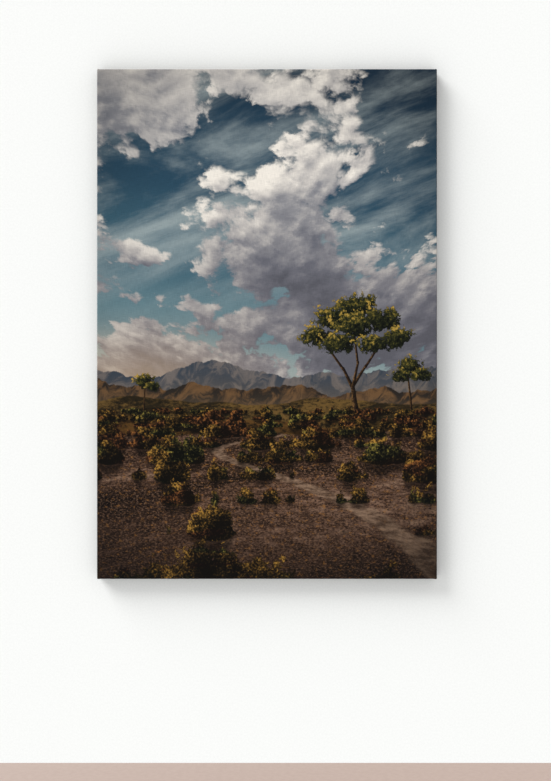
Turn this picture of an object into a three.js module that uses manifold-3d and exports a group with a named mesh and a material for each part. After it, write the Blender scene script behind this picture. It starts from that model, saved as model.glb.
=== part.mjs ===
// Frameless canvas wall print, built as a stretched canvas is.
//
// A printed cotton canvas is pulled over a pine frame of four mitred stretcher bars and folded
// round to its back. Two crossed braces hold the long bars apart. Each mitre is a slotted joint
// with two thin wedges, which spread the bars and tighten the canvas. A toothed steel plate on
// the top bar hangs the print on one hook, and four soft pads keep it off the wall.
//
// Units are millimetres and +Z is up. The picture faces -Y, and the wall is the plane y = 0.
// The origin is on the wall, where the hook carries the middle notch of the toothed plate.
import * as THREE from "three";
import { RoundedBoxGeometry } from "three/addons/geometries/RoundedBoxGeometry.js";
import { mergeVertices } from "three/addons/utils/BufferGeometryUtils.js";
import Module from "manifold-3d";

const wasm = await Module();
wasm.setup();

// Driving dimensions of the whole print
const PRINT_WIDTH = 1016;
const PRINT_HEIGHT = 1524;
const BAR_DEPTH = 38;
const BAR_WIDTH = 44;
const CLEARANCE = 0.3;

// The canvas: its thickness, the fold on the back and the radius over the bars' edges
const CANVAS_THICKNESS = 0.6;
const CANVAS_FOLD = 24;
const BAR_EDGE_RADIUS = 2.1;
const EDGE_SEGMENTS = 3;

// Section of a stretcher bar: a raised bead along the outer edge carries the canvas, and the
// face falls away behind it so that the cloth touches nothing else
const BEAD_WIDTH = 9;
const BEAD_HEIGHT = 3.5;
const FACE_FALL = 2.5;
const INNER_EDGE_RADIUS = 2;

// Slotted mitre joint, in two layers across the bar's depth
const SLOT_THICKNESS = 4.2;
const SLOT_DEPTH = 26;
const SLOT_END_MARGIN = 8;
const SLOT_PAST_CORNER = 19;
const FRONT_LAYER = 22;
const BACK_LAYER = 13;

// Wedges in the slots
const WEDGE_THICKNESS = 3.4;
const WEDGE_WIDTH = 17.5;
const WEDGE_TIP_WIDTH = 5;
const WEDGE_STANDS_OUT = 18;

// Cross braces and the tenons at their ends
const BRACE_WIDTH = 40;
const BRACE_THICKNESS = 18;
const BRACE_EDGE_RADIUS = 1.5;
const TENON_WIDTH = 24;
const TENON_THICKNESS = 8;
const TENON_LENGTH = 14;

// Toothed hanger plate, on the bare wood between the canvas fold and the bar's inner edge
const NOTCH_BELOW_TOP = 40;
const HANGER_LENGTH = 92;
const HANGER_HEIGHT = 15;
const HANGER_THICKNESS = 1;
const HANGER_CORNER_RADIUS = 4;
const HANGER_RISE = 1.3;
const HANGER_RAISED_LENGTH = 58;
const HANGER_RAMP = 4;
const TOOTH_PITCH = 3;
const TOOTH_DEPTH = 2;
const TEETH_EACH_SIDE = 8;
const HANGER_SCREW_OFFSET = 38;

// Screws of the hanger plate
const SCREW_HEAD_RADIUS = 3.4;
const SCREW_HEAD_HEIGHT = 1.7;
const SCREW_SHANK_RADIUS = 1.5;
const SCREW_LENGTH = 16;
const SCREW_POINT = 4;
const SCREW_HOLE_RADIUS = 1.9;
const RECESS_SPAN = 3.8;
const RECESS_WIDTH = 0.8;
const RECESS_DEPTH = 1;

// Soft wall pads
const PAD_RADIUS = 6.5;
const PAD_THICKNESS = 3;
const PAD_ROUNDING = 1;
const PAD_INSET = 14;

// Depths from the wall, all behind y = 0
const foldBackY = -(PAD_THICKNESS + CLEARANCE);
const barBackY = foldBackY - CANVAS_THICKNESS - CLEARANCE;
const barFrontY = barBackY - BAR_DEPTH;
const canvasFrontY = barFrontY - CLEARANCE - CANVAS_THICKNESS;
const braceMiddleY = barBackY - BRACE_THICKNESS / 2;

// Outer size of the wooden frame, inside the canvas
const skin = CANVAS_THICKNESS + CLEARANCE;
const frameWidth = PRINT_WIDTH - 2 * skin;
const frameHeight = PRINT_HEIGHT - 2 * skin;

// The hanger's middle notch is the origin, and sets the height of everything else
const hangerMiddleZ = HANGER_HEIGHT / 2 - TOOTH_DEPTH;
const printMiddleZ = NOTCH_BELOW_TOP - PRINT_HEIGHT / 2;

const material = (color, roughness, metalness = 0) =>
  new THREE.MeshStandardMaterial({ color, roughness, metalness });

const pine = material(0xcfa873, 0.7);
const bracePine = material(0xd8b684, 0.72);
const beech = material(0xb98a58, 0.6);
const printedCanvas = material(0x56595a, 0.85);
const zincSteel = material(0xb9bcc0, 0.35, 0.9);
const screwSteel = material(0xc9b277, 0.35, 0.9);
const softPad = material(0x2f3032, 0.8);

// A closed geometry as a solid that can be cut and joined
function solidOf(geometry) {
  const bare = geometry.clone();
  bare.deleteAttribute("normal");
  bare.deleteAttribute("uv");
  const merged = mergeVertices(bare);
  return new wasm.Manifold(
    new wasm.Mesh({
      numProp: 3,
      vertProperties: merged.attributes.position.array,
      triVerts: new Uint32Array(merged.index.array),
    }),
  );
}

// A solid as a named mesh, with flat faces
function meshOf(name, solid, finish) {
  const { vertProperties, triVerts } = solid.getMesh();
  const indexed = new THREE.BufferGeometry();
  indexed.setAttribute("position", new THREE.BufferAttribute(vertProperties, 3));
  indexed.setIndex(new THREE.BufferAttribute(triVerts, 1));
  const geometry = indexed.toNonIndexed();
  geometry.computeVertexNormals();
  const mesh = new THREE.Mesh(geometry, finish);
  mesh.name = name;
  return mesh;
}

// A box between two corners, each given as [x, y, z]
function boxBetween(low, high) {
  const size = high.map((value, i) => value - low[i]);
  const geometry = new THREE.BoxGeometry(...size);
  geometry.translate(...high.map((value, i) => (value + low[i]) / 2));
  return solidOf(geometry);
}

// The solid and its mirror image across x = 0
function withMirror(make) {
  return make(1).add(make(-1));
}

// A box given on the right-hand side of x = 0, or its image on the left
function sidedBox(side, [x0, y0, z0], [x1, y1, z1]) {
  const [left, right] = side > 0 ? [x0, x1] : [-x1, -x0];
  return boxBetween([left, y0, z0], [right, y1, z1]);
}

// The space that the wooden frame fills, with its outer edges rounded for the cloth, centred on
// the frame and lying across the two given sizes
function frameEnvelope(along, across) {
  const geometry = new RoundedBoxGeometry(
    along,
    BAR_DEPTH,
    across,
    EDGE_SEGMENTS,
    BAR_EDGE_RADIUS,
  );
  geometry.translate(0, barBackY - BAR_DEPTH / 2, 0);
  return solidOf(geometry);
}

// Section of a bar: x runs inwards from the outer edge, and y from the back to the front
function barSection() {
  const shape = new THREE.Shape();
  const r = INNER_EDGE_RADIUS;
  const innerFront = BAR_DEPTH - BEAD_HEIGHT - FACE_FALL;
  shape.moveTo(0, 0);
  shape.lineTo(BAR_WIDTH - r, 0);
  shape.absarc(BAR_WIDTH - r, r, r, -Math.PI / 2, 0);
  shape.lineTo(BAR_WIDTH, innerFront);
  shape.lineTo(BEAD_WIDTH + BEAD_HEIGHT, BAR_DEPTH - BEAD_HEIGHT);
  shape.lineTo(BEAD_WIDTH, BAR_DEPTH);
  shape.lineTo(0, BAR_DEPTH);
  shape.closePath();
  return shape;
}

// A bar as it lies along the top of the frame, mitred at both ends: the section is drawn out
// along the bar, and each end is pulled back by its own distance from the outer edge
function mitredBar(length, halfAcross) {
  const geometry = new THREE.ExtrudeGeometry(barSection(), {
    depth: length,
    bevelEnabled: false,
    curveSegments: EDGE_SEGMENTS,
  });
  const points = geometry.attributes.position;
  for (let i = 0; i < points.count; i++) {
    const inwards = points.getX(i);
    const forwards = points.getY(i);
    const end = points.getZ(i) > length / 2 ? 1 : -1;
    const mitred = length / 2 - inwards - CLEARANCE / 2;
    points.setXYZ(i, -end * mitred, barBackY - forwards, halfAcross - inwards);
  }
  return solidOf(geometry);
}

// One end's slot, which takes the next bar's tongue and a wedge
function jointSlot(side, length, innerZ, layer) {
  const innerX = length / 2 - BAR_WIDTH;
  const y = barBackY - layer;
  return sidedBox(
    side,
    [innerX - SLOT_PAST_CORNER, y - SLOT_THICKNESS / 2, innerZ - 1],
    [length / 2 - SLOT_END_MARGIN, y + SLOT_THICKNESS / 2, innerZ + SLOT_DEPTH],
  );
}

// One end's tongue, which lies in the next bar's slot
function jointTongue(side, length, halfAcross, layer) {
  const innerX = length / 2 - BAR_WIDTH;
  const innerZ = halfAcross - BAR_WIDTH;
  const halfThickness = SLOT_THICKNESS / 2 - CLEARANCE;
  const y = barBackY - layer;
  return sidedBox(
    side,
    [innerX - SLOT_END_MARGIN, y - halfThickness, innerZ + CLEARANCE],
    [
      innerX + SLOT_DEPTH - CLEARANCE,
      y + halfThickness,
      halfAcross - SLOT_END_MARGIN - CLEARANCE,
    ],
  );
}

// The hole in the middle of a bar's inner face for a brace's tenon
function braceMortise(innerZ) {
  const halfWidth = TENON_WIDTH / 2 + CLEARANCE;
  const halfThickness = TENON_THICKNESS / 2 + CLEARANCE;
  return boxBetween(
    [-halfWidth, braceMiddleY - halfThickness, innerZ - 1],
    [halfWidth, braceMiddleY + halfThickness, innerZ + TENON_LENGTH + CLEARANCE],
  );
}

// A whole stretcher bar in the place of the top one
function stretcherBar(length, across, slotLayer, tongueLayer) {
  const halfAcross = across / 2;
  const innerZ = halfAcross - BAR_WIDTH;
  return mitredBar(length, halfAcross)
    .add(withMirror((side) => jointTongue(side, length, halfAcross, tongueLayer)))
    .subtract(withMirror((side) => jointSlot(side, length, innerZ, slotLayer)))
    .subtract(braceMortise(innerZ))
    .intersect(frameEnvelope(length, across));
}

// A wedge in the slot of the top bar: its straight side lies along the next bar, and its other
// side slants in towards the point
function wedge(side, length, across, layer) {
  const innerX = length / 2 - BAR_WIDTH - CLEARANCE;
  const innerZ = across / 2 - BAR_WIDTH;
  const tipZ = innerZ + SLOT_DEPTH - CLEARANCE;
  const shape = new THREE.Shape([
    new THREE.Vector2(side * innerX, innerZ - WEDGE_STANDS_OUT),
    new THREE.Vector2(side * innerX, tipZ),
    new THREE.Vector2(side * (innerX - WEDGE_TIP_WIDTH), tipZ),
    new THREE.Vector2(side * (innerX - WEDGE_WIDTH), innerZ - WEDGE_STANDS_OUT),
  ]);
  const geometry = new THREE.ExtrudeGeometry(shape, {
    depth: WEDGE_THICKNESS,
    bevelEnabled: false,
  });
  geometry.rotateX(Math.PI / 2);
  geometry.translate(0, barBackY - layer + WEDGE_THICKNESS / 2, 0);
  return solidOf(geometry);
}

// The hole for a hanger screw, from the wall's plane through the plate and into the bar
function screwHole(x, z) {
  const depth = SCREW_LENGTH - barBackY;
  const geometry = new THREE.CylinderGeometry(
    SCREW_HOLE_RADIUS,
    SCREW_HOLE_RADIUS,
    depth,
    24,
  );
  geometry.translate(x, -depth / 2, z);
  return solidOf(geometry);
}

// A brace lying along X, or along Z where upright is true, halved into the other at the middle
function crossBrace(clearLength, upright) {
  const board = clearLength - 2 * CLEARANCE;
  const geometry = new RoundedBoxGeometry(
    board,
    BRACE_THICKNESS,
    BRACE_WIDTH,
    2,
    BRACE_EDGE_RADIUS,
  );
  geometry.translate(0, braceMiddleY, 0);
  const halfTenon = clearLength / 2 + TENON_LENGTH;
  const tenons = boxBetween(
    [-halfTenon, braceMiddleY - TENON_THICKNESS / 2, -TENON_WIDTH / 2],
    [halfTenon, braceMiddleY + TENON_THICKNESS / 2, TENON_WIDTH / 2],
  );
  const halfLap = BRACE_WIDTH / 2 + CLEARANCE;
  const [lapLow, lapHigh] = upright
    ? [braceMiddleY - BRACE_THICKNESS, braceMiddleY + CLEARANCE / 2]
    : [braceMiddleY - CLEARANCE / 2, braceMiddleY + BRACE_THICKNESS];
  const lap = boxBetween(
    [-halfLap, lapLow, -BRACE_WIDTH],
    [halfLap, lapHigh, BRACE_WIDTH],
  );
  return solidOf(geometry).add(tenons).subtract(lap);
}

// The canvas: a thin shell over the frame's front and sides, folded in behind it
function stretchedCanvas() {
  const shellDepth = foldBackY - canvasFrontY;
  const middleY = (foldBackY + canvasFrontY) / 2;
  const wrapped = (wall, radius) => {
    const geometry = new RoundedBoxGeometry(
      PRINT_WIDTH - 2 * wall,
      shellDepth - 2 * wall,
      PRINT_HEIGHT - 2 * wall,
      EDGE_SEGMENTS,
      radius,
    );
    geometry.translate(0, middleY, 0);
    return solidOf(geometry);
  };
  const outerRadius = BAR_EDGE_RADIUS + skin;
  const innerRadius = BAR_EDGE_RADIUS + CLEARANCE;
  const halfWindow = [PRINT_WIDTH / 2 - CANVAS_FOLD, PRINT_HEIGHT / 2 - CANVAS_FOLD];
  const window = boxBetween(
    [-halfWindow[0], barBackY - 1, -halfWindow[1]],
    [halfWindow[0], foldBackY + 1, halfWindow[1]],
  );
  return wrapped(0, outerRadius)
    .subtract(wrapped(CANVAS_THICKNESS, innerRadius))
    .subtract(window);
}

// Side view of the hanger plate, from above: flat ends on the wood and a raised middle
function hangerStrip() {
  const half = HANGER_LENGTH / 2;
  const raised = HANGER_RAISED_LENGTH / 2;
  const foot = barBackY + CLEARANCE;
  const near = [
    [-half, foot],
    [-raised - HANGER_RAMP, foot],
    [-raised, foot + HANGER_RISE],
    [raised, foot + HANGER_RISE],
    [raised + HANGER_RAMP, foot],
    [half, foot],
  ];
  const far = near.map(([x, y]) => [x, y + HANGER_THICKNESS]).reverse();
  const shape = new THREE.Shape([...near, ...far].map(([x, y]) => new THREE.Vector2(x, y)));
  const geometry = new THREE.ExtrudeGeometry(shape, {
    depth: HANGER_HEIGHT,
    bevelEnabled: false,
  });
  geometry.translate(0, 0, hangerMiddleZ - HANGER_HEIGHT / 2);
  return solidOf(geometry);
}

// Front view of the hanger plate: round corners, and notches along its lower edge, the middle
// one of which ends at the origin's height
function hangerOutline() {
  const half = HANGER_LENGTH / 2;
  const top = hangerMiddleZ + HANGER_HEIGHT / 2;
  const bottom = -TOOTH_DEPTH;
  const r = HANGER_CORNER_RADIUS;
  const shape = new THREE.Shape();
  shape.moveTo(-half + r, bottom);
  for (let i = -TEETH_EACH_SIDE; i <= TEETH_EACH_SIDE; i++) {
    shape.lineTo((i - 0.45) * TOOTH_PITCH, bottom);
    shape.lineTo(i * TOOTH_PITCH, 0);
    shape.lineTo((i + 0.45) * TOOTH_PITCH, bottom);
  }
  shape.lineTo(half - r, bottom);
  shape.absarc(half - r, bottom + r, r, -Math.PI / 2, 0);
  shape.absarc(half - r, top - r, r, 0, Math.PI / 2);
  shape.absarc(-half + r, top - r, r, Math.PI / 2, Math.PI);
  shape.absarc(-half + r, bottom + r, r, Math.PI, 1.5 * Math.PI);
  const geometry = new THREE.ExtrudeGeometry(shape, {
    depth: 2 * BAR_DEPTH,
    bevelEnabled: false,
    curveSegments: 5,
  });
  geometry.rotateX(Math.PI / 2);
  geometry.translate(0, BAR_DEPTH, 0);
  return solidOf(geometry);
}

function toothedHanger() {
  return hangerStrip()
    .intersect(hangerOutline())
    .subtract(withMirror((side) => screwHole(side * HANGER_SCREW_OFFSET, hangerMiddleZ)));
}

// A screw with its axis along Y, a domed head on the plate and its point in the wood
function hangerScrew() {
  const seat = barBackY + 2 * CLEARANCE + HANGER_THICKNESS;
  const crown = seat + SCREW_HEAD_HEIGHT;
  const point = seat - SCREW_LENGTH;
  const profile = [
    [0, point],
    [SCREW_SHANK_RADIUS, point + SCREW_POINT],
    [SCREW_SHANK_RADIUS, seat],
    [SCREW_HEAD_RADIUS, seat],
    [SCREW_HEAD_RADIUS * 0.96, seat + SCREW_HEAD_HEIGHT * 0.4],
    [SCREW_HEAD_RADIUS * 0.78, seat + SCREW_HEAD_HEIGHT * 0.78],
    [SCREW_HEAD_RADIUS * 0.5, crown],
    [0, crown],
  ].map(([radius, y]) => new THREE.Vector2(radius, y));
  const arm = (halfX, halfZ) =>
    boxBetween([-halfX, crown - RECESS_DEPTH, -halfZ], [halfX, crown + 1, halfZ]);
  const recess = arm(RECESS_SPAN / 2, RECESS_WIDTH / 2).add(
    arm(RECESS_WIDTH / 2, RECESS_SPAN / 2),
  );
  return solidOf(new THREE.LatheGeometry(profile, 24)).subtract(recess);
}

// A soft pad with its flat face in the wall's plane
function wallPad() {
  const back = -PAD_THICKNESS;
  const profile = [
    [0, back],
    [PAD_RADIUS, back],
    [PAD_RADIUS, -PAD_ROUNDING],
    [PAD_RADIUS - 0.3 * PAD_ROUNDING, -0.3 * PAD_ROUNDING],
    [PAD_RADIUS - PAD_ROUNDING, 0],
    [0, 0],
  ].map(([radius, y]) => new THREE.Vector2(radius, y));
  return solidOf(new THREE.LatheGeometry(profile, 32));
}

// The four bars are one bar turned round the middle of the frame by quarter turns. The layer of
// a bar's slots is the layer of its neighbours' tongues.
const BARS = [
  { name: "top", turn: 0, ends: { "-1": "left", 1: "right" } },
  { name: "right", turn: 1, ends: { "-1": "top", 1: "bottom" } },
  { name: "bottom", turn: 2, ends: { "-1": "right", 1: "left" } },
  { name: "left", turn: 3, ends: { "-1": "bottom", 1: "top" } },
];

function addBars(frame) {
  for (const { name, turn, ends } of BARS) {
    const upright = turn % 2 === 1;
    const length = upright ? frameHeight : frameWidth;
    const across = upright ? frameWidth : frameHeight;
    const slotLayer = upright ? BACK_LAYER : FRONT_LAYER;
    const tongueLayer = upright ? FRONT_LAYER : BACK_LAYER;
    let bar = stretcherBar(length, across, slotLayer, tongueLayer);
    if (name === "top") {
      const z = hangerMiddleZ - printMiddleZ;
      bar = bar.subtract(withMirror((side) => screwHole(side * HANGER_SCREW_OFFSET, z)));
    }
    const turned = new THREE.Group();
    turned.rotation.y = (turn * Math.PI) / 2;
    turned.add(meshOf(`bar_${name}`, bar, pine));
    for (const side of [-1, 1])
      turned.add(
        meshOf(
          `wedge_${name}_${ends[side]}`,
          wedge(side, length, across, slotLayer),
          beech,
        ),
      );
    frame.add(turned);
  }
}

function addBraces(frame) {
  const level = crossBrace(frameWidth - 2 * BAR_WIDTH, false);
  frame.add(meshOf("brace_level", level, bracePine));
  const upright = meshOf(
    "brace_upright",
    crossBrace(frameHeight - 2 * BAR_WIDTH, true),
    bracePine,
  );
  upright.rotation.y = Math.PI / 2;
  frame.add(upright);
}

function addPads(frame) {
  const pad = wallPad();
  for (const [row, z] of [["top", 1], ["bottom", -1]])
    for (const [column, x] of [["left", -1], ["right", 1]]) {
      const mesh = meshOf(`pad_${row}_${column}`, pad, softPad);
      mesh.position.x = x * (PRINT_WIDTH / 2 - PAD_INSET);
      mesh.position.z = z * (PRINT_HEIGHT / 2 - PAD_INSET);
      frame.add(mesh);
    }
}

function addHanger(print) {
  print.add(meshOf("hanger", toothedHanger(), zincSteel));
  const screw = hangerScrew();
  for (const [column, x] of [["left", -1], ["right", 1]]) {
    const mesh = meshOf(`hanger_screw_${column}`, screw, screwSteel);
    mesh.position.set(x * HANGER_SCREW_OFFSET, 0, hangerMiddleZ);
    print.add(mesh);
  }
}

const frame = new THREE.Group();
frame.position.z = printMiddleZ;
addBars(frame);
addBraces(frame);
frame.add(meshOf("canvas", stretchedCanvas(), printedCanvas));
addPads(frame);

const print = new THREE.Group();
print.add(frame);
addHanger(print);

export default print;
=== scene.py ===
# %% [markdown]
# Canvas wall print
#
# A stretched canvas print is a simple thing made of honest pieces: a printed cotton sheet, a
# pine frame to hold it flat, wedges, staples and a hanger. Seen from the front it is all
# picture, and seen from behind it is all joinery. This lesson dresses both sides. Sizes that
# the fixed frame knows are read from it, so nothing is measured twice.

# %% Load the fixed frame
import math

import bmesh
import bpy
from mathutils import Matrix, Vector


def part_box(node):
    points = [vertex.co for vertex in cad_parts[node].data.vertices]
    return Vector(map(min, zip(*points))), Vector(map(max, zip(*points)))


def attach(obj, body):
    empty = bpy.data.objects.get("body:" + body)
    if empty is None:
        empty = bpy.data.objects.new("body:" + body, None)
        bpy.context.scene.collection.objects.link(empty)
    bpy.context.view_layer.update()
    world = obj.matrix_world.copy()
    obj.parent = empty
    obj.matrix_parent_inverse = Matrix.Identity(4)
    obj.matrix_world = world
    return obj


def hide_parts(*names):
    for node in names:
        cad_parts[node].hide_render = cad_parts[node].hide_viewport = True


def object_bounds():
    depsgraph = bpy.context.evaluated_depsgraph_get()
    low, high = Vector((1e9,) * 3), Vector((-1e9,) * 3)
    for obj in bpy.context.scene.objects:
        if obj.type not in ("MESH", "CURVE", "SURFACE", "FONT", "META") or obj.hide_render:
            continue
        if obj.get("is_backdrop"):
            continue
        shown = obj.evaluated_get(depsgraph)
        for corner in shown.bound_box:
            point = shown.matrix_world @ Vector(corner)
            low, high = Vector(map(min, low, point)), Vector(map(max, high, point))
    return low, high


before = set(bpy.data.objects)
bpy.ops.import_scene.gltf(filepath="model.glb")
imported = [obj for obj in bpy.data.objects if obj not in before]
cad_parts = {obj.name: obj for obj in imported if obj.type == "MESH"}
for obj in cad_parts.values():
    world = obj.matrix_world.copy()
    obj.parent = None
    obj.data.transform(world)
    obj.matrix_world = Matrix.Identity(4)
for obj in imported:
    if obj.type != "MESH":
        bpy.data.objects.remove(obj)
cad_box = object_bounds()
print("frame nodes:", len(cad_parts))

# %% [markdown]
# The camera comes first, because it decides what has to look right. The photograph is taken
# square on, so the camera is level and looks straight at the wall. The print is 340 pixels wide
# in a picture of 551 by 781 pixels. That and a distance of 4 metres give the lens. The print
# hangs a little left of the middle and well above it, so the camera stands to the right and low.

# %% Camera
MM = 0.001
PHOTO_WIDTH, PHOTO_HEIGHT = 551, 781
PRINT_LEFT, PRINT_RIGHT = 97, 437
PRINT_TOP, PRINT_BOTTOM = 69, 579
CAMERA_DISTANCE = 4.0
SENSOR = 36.0

canvas_low, canvas_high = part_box("canvas")
middle = (canvas_low + canvas_high) / 2
half_width = (canvas_high.x - canvas_low.x) / 2
half_height = (canvas_high.z - canvas_low.z) / 2
front_y, back_y = canvas_low.y, canvas_high.y
pixels_per_metre = (PRINT_RIGHT - PRINT_LEFT) / (2 * half_width)


def add_camera():
    """A level camera that sees the print where the photograph shows it."""
    data = bpy.data.cameras.new("camera")
    data.sensor_width = SENSOR
    data.lens = pixels_per_metre * CAMERA_DISTANCE * SENSOR / PHOTO_HEIGHT
    camera = bpy.data.objects.new("camera", data)
    right = (PHOTO_WIDTH - PRINT_LEFT - PRINT_RIGHT) / 2 / pixels_per_metre
    down = (PHOTO_HEIGHT - PRINT_TOP - PRINT_BOTTOM) / 2 / pixels_per_metre
    camera.location = (middle.x + right, front_y - CAMERA_DISTANCE, middle.z - down)
    camera.rotation_euler = (math.pi / 2, 0, 0)
    bpy.context.scene.collection.objects.link(camera)
    bpy.context.scene.camera = camera
    return camera


camera = add_camera()
print("lens:", round(camera.data.lens, 2), "mm, at", [round(v, 3) for v in camera.location])

# %% [markdown]
# Shaders for print, wood and cloth are all sums, so a small helper pays for itself. A Signal
# wraps an output socket, and Python's own signs then make the Math nodes: writing a * b + 0.2
# places a Multiply and an Add. The alternative is to make and link each node by hand, which
# hides the idea in plumbing.

# %% Sums on sockets


class Signal:
    """An output socket that Python's own signs can add, subtract, multiply and divide."""

    def __init__(self, socket):
        self.socket = socket

    def __add__(self, other):
        return maths("ADD", self, other)

    def __radd__(self, other):
        return maths("ADD", other, self)

    def __sub__(self, other):
        return maths("SUBTRACT", self, other)

    def __rsub__(self, other):
        return maths("SUBTRACT", other, self)

    def __mul__(self, other):
        return maths("MULTIPLY", self, other)

    def __rmul__(self, other):
        return maths("MULTIPLY", other, self)

    def __truediv__(self, other):
        return maths("DIVIDE", self, other)

    def __rtruediv__(self, other):
        return maths("DIVIDE", other, self)


def feed(socket, value):
    """Links a signal to an input socket, or sets the socket to a plain value."""
    if isinstance(value, Signal):
        socket.id_data.links.new(value.socket, socket)
    else:
        socket.default_value = value


def node(tree, kind, values=(), **settings):
    """A new node with its settings and its input sockets filled in."""
    made = tree.nodes.new(kind)
    for name, value in settings.items():
        setattr(made, name, value)
    for name, value in dict(values).items():
        feed(made.inputs[name], value)
    return made


def first_output(tree, kind, values=(), **settings):
    """A new node's first output."""
    return Signal(node(tree, kind, values, **settings).outputs[0])


def tree_of(values):
    """The node tree that the first signal among some values lives in."""
    return next(v.socket.id_data for v in values if isinstance(v, Signal))


def maths(operation, *values):
    """One Math node."""
    return first_output(tree_of(values), "ShaderNodeMath", enumerate(values), operation=operation)


def step(value, low, high, out_low=0.0, out_high=1.0, kind="SMOOTHSTEP"):
    """A soft step: out_low at low and beyond, out_high at high and beyond."""
    values = {"Value": value, "From Min": low, "From Max": high}
    values |= {"To Min": out_low, "To Max": out_high}
    tree = tree_of(values.values())
    return first_output(tree, "ShaderNodeMapRange", values, interpolation_type=kind)


print("sums ready")

# %% [markdown]
# More helpers make patterns and colours. Noise is read on a flat plane wherever that is enough,
# because flat noise costs less than solid noise, and a seed simply moves the plane. Colours are
# written as hex codes, as a printer would, and turned into linear light once.

# %% Patterns and colours


def srgb(code):
    """A hex colour code as the linear colour that shaders work in."""
    parts = [int(code[i : i + 2], 16) / 255 for i in (0, 2, 4)]
    linear = [p / 12.92 if p <= 0.04045 else ((p + 0.055) / 1.055) ** 2.4 for p in parts]
    return (*linear, 1.0)


def point(x, y, z=0.0):
    """A vector from three numbers or signals."""
    return first_output(tree_of((x, y, z)), "ShaderNodeCombineXYZ", {"X": x, "Y": y, "Z": z})


def noise_at(place, scale, detail=4.0, rough=0.5, warp=0.0):
    """Flat fractal noise at a place, from 0 to 1 and mostly near a half."""
    values = {"Vector": place, "Scale": scale, "Detail": detail, "Roughness": rough}
    values["Distortion"] = warp
    return first_output(tree_of([place]), "ShaderNodeTexNoise", values, noise_dimensions="2D")


def noise(x, y, scale, detail=4.0, rough=0.5, seed=0.0, warp=0.0):
    """The same noise at two numbers. The seed moves it elsewhere."""
    return noise_at(point(x + seed * 3.71, y + seed * 1.93), scale, detail, rough, warp)


def noise_along(x, scale, detail=4.0, rough=0.5):
    """Fractal noise along a line."""
    values = {"W": x, "Scale": scale, "Detail": detail, "Roughness": rough}
    return first_output(tree_of([x]), "ShaderNodeTexNoise", values, noise_dimensions="1D")


def mix(factor, first, second):
    """Two colours mixed by a factor."""
    values = {0: factor, 6: first, 7: second}
    made = node(tree_of(values.values()), "ShaderNodeMix", values, data_type="RGBA")
    return Signal(made.outputs[2])


def blend(factor, first, second):
    """Two numbers mixed by a factor, as mix does with colours."""
    values = {0: factor, 2: first, 3: second}
    return first_output(tree_of(values.values()), "ShaderNodeMix", values, data_type="FLOAT")


def ramp(value, stops, kind="LINEAR"):
    """A colour for each value, from a list of (position, colour code) stops."""
    made = node(tree_of([value]), "ShaderNodeValToRGB", {"Fac": value})
    made.color_ramp.interpolation = kind
    elements = made.color_ramp.elements
    while len(elements) < len(stops):
        elements.new(1.0)
    for element, (position, code) in zip(elements, stops):
        element.position = position
        element.color = srgb(code)
    return Signal(made.outputs["Color"])


print("a mid grey in linear light:", round(srgb("808080")[0], 4))

# %% [markdown]
# A pattern that is used again becomes a node group with named inputs and outputs. Its sockets
# are made with interface.new_socket. The groups here carry only numbers, and the shaders that
# they feed stay in the materials.

# %% Node groups and materials


def group(name, inputs, outputs):
    """An empty node group. Returns it, its input signals in order and its output node."""
    tree = bpy.data.node_groups.new(name, "ShaderNodeTree")
    for label in inputs:
        tree.interface.new_socket(label, in_out="INPUT", socket_type="NodeSocketFloat")
    for label in outputs:
        tree.interface.new_socket(label, in_out="OUTPUT", socket_type="NodeSocketFloat")
    source = tree.nodes.new("NodeGroupInput")
    target = tree.nodes.new("NodeGroupOutput")
    return tree, [Signal(source.outputs[label]) for label in inputs], target


def use(tree, made_group, **values):
    """Places a node group. Returns its outputs, in order."""
    made = node(tree, "ShaderNodeGroup", values, node_tree=made_group)
    return [Signal(output) for output in made.outputs]


def finish_of(name, **plain):
    """A new material. Returns it, its tree and its Principled shader, with plain values set."""
    material = bpy.data.materials.new(name)
    material.use_nodes = True
    shader = material.node_tree.nodes["Principled BSDF"]
    for label, value in plain.items():
        shader.inputs[label.replace("_", " ")].default_value = value
    return material, material.node_tree, shader


def parts_of(vector):
    """The three numbers in a vector."""
    parts = node(tree_of([vector]), "ShaderNodeSeparateXYZ", {"Vector": vector})
    return [Signal(output) for output in parts.outputs]


def place_in(tree):
    """The object's own coordinates in metres, as three signals."""
    return parts_of(Signal(node(tree, "ShaderNodeTexCoord").outputs["Object"]))


def dress(shader, colour, rough, height, depth):
    """Feeds a shader its colour, its roughness and bumps of that depth in metres."""
    bump = node(shader.id_data, "ShaderNodeBump", {"Height": height, "Distance": depth})
    feed(shader.inputs["Base Color"], colour)
    feed(shader.inputs["Roughness"], rough)
    feed(shader.inputs["Normal"], Signal(bump.outputs["Normal"]))


print("groups ready")

# %% [markdown]
# The picture. A print could carry an image file, but a picture drawn by rules stays sharp at any
# distance. This one is an evening over rolling hills. It works in print widths: (0, 0) is the
# middle of the print, x runs from -0.5 to 0.5 and y from -0.75 to 0.75.
#
# It is painted as a landscape painter would, from the back forwards: sky, clouds, ridges, hills,
# ground, trees and shrubs. Each layer is laid over the last one by its own mask.

# %% Sky
HORIZON = -0.225
# The sky's colours, each at its height over the horizon
SKY = [
    (0.0, "c6b7a2"),
    (0.07, "99a5a2"),
    (0.20, "66838b"),
    (0.40, "3f6272"),
    (0.66, "28475b"),
    (1.0, "1a3144"),
]


def sky_colour(x, y):
    """The sky alone, deeper to the upper right and warm low down, with thin high streaks."""
    sky = ramp(y - HORIZON + x * 0.10, SKY, "EASE")
    streaks = noise(x * 0.9 + y * 0.7, y * 3.6 - x * 1.5, 1.3, 8.0, 0.62, 21.0, 0.25)
    veil = step(streaks, 0.38, 0.72) * step(y, -0.05, 0.30) * 0.66
    return mix(veil, sky, srgb("b0bbba"))


print("horizon at", HORIZON)

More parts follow.
